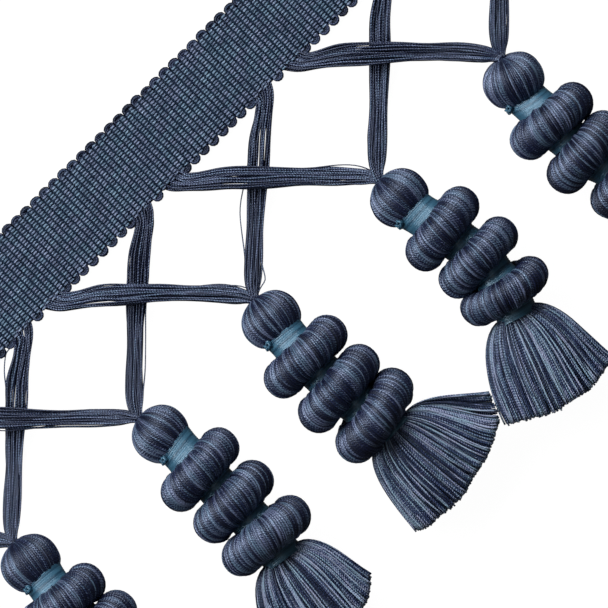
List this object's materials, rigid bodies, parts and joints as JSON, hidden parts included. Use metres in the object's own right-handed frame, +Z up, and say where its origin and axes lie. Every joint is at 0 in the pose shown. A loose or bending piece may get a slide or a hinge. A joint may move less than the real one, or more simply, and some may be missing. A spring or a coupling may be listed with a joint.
{
  "type": "tassel fringe trim",
  "caption": "Sewing trim for curtains and cushions: a ribbed woven heading, crossing yarn hanks and bound yarn-ring tassels with cut skirts, laid flat.",
  "frame": {"origin": "middle of the heading's back face, on the surface that the trim lies on", "axes": "+X along the heading, -Y from the heading to the tassels, +Z up out of the front"},
  "size_m": [0.29, 0.1448, 0.0283],
  "materials": {
    "woven_heading": "ribbed weave of mottled blue yarn",
    "yarn": "two-ply yarn, space-dyed navy to slate blue",
    "satin_thread": "satin thread with a soft sheen"
  },
  "bodies": {
    "root": {"heading": "woven_heading", "ball_1": "yarn", "ring_1_1": "yarn", "ring_1_2": "yarn", "ring_1_3": "yarn", "binding_1_1": "satin_thread", "binding_1_2": "satin_thread", "binding_1_3": "satin_thread", "binding_1_4": "satin_thread", "skirt_1": "yarn", "hank_right_1": "yarn", "hank_left_1": "yarn", "ball_2": "yarn", "ring_2_1": "yarn", "ring_2_2": "yarn", "ring_2_3": "yarn", "binding_2_1": "satin_thread", "binding_2_2": "satin_thread", "binding_2_3": "satin_thread", "binding_2_4": "satin_thread", "skirt_2": "yarn", "hank_right_2": "yarn", "hank_left_2": "yarn", "ball_3": "yarn", "ring_3_1": "yarn", "ring_3_2": "yarn", "ring_3_3": "yarn", "binding_3_1": "satin_thread", "binding_3_2": "satin_thread", "binding_3_3": "satin_thread", "binding_3_4": "satin_thread", "skirt_3": "yarn", "hank_right_3": "yarn", "hank_left_3": "yarn", "ball_4": "yarn", "ring_4_1": "yarn", "ring_4_2": "yarn", "ring_4_3": "yarn", "binding_4_1": "satin_thread", "binding_4_2": "satin_thread", "binding_4_3": "satin_thread", "binding_4_4": "satin_thread", "skirt_4": "yarn", "hank_right_4": "yarn", "hank_left_4": "yarn", "ball_5": "yarn", "ring_5_1": "yarn", "ring_5_2": "yarn", "ring_5_3": "yarn", "binding_5_1": "satin_thread", "binding_5_2": "satin_thread", "binding_5_3": "satin_thread", "binding_5_4": "satin_thread", "skirt_5": "yarn", "hank_right_5": "yarn", "hank_left_5": "yarn"}
  },
  "joints": []
}
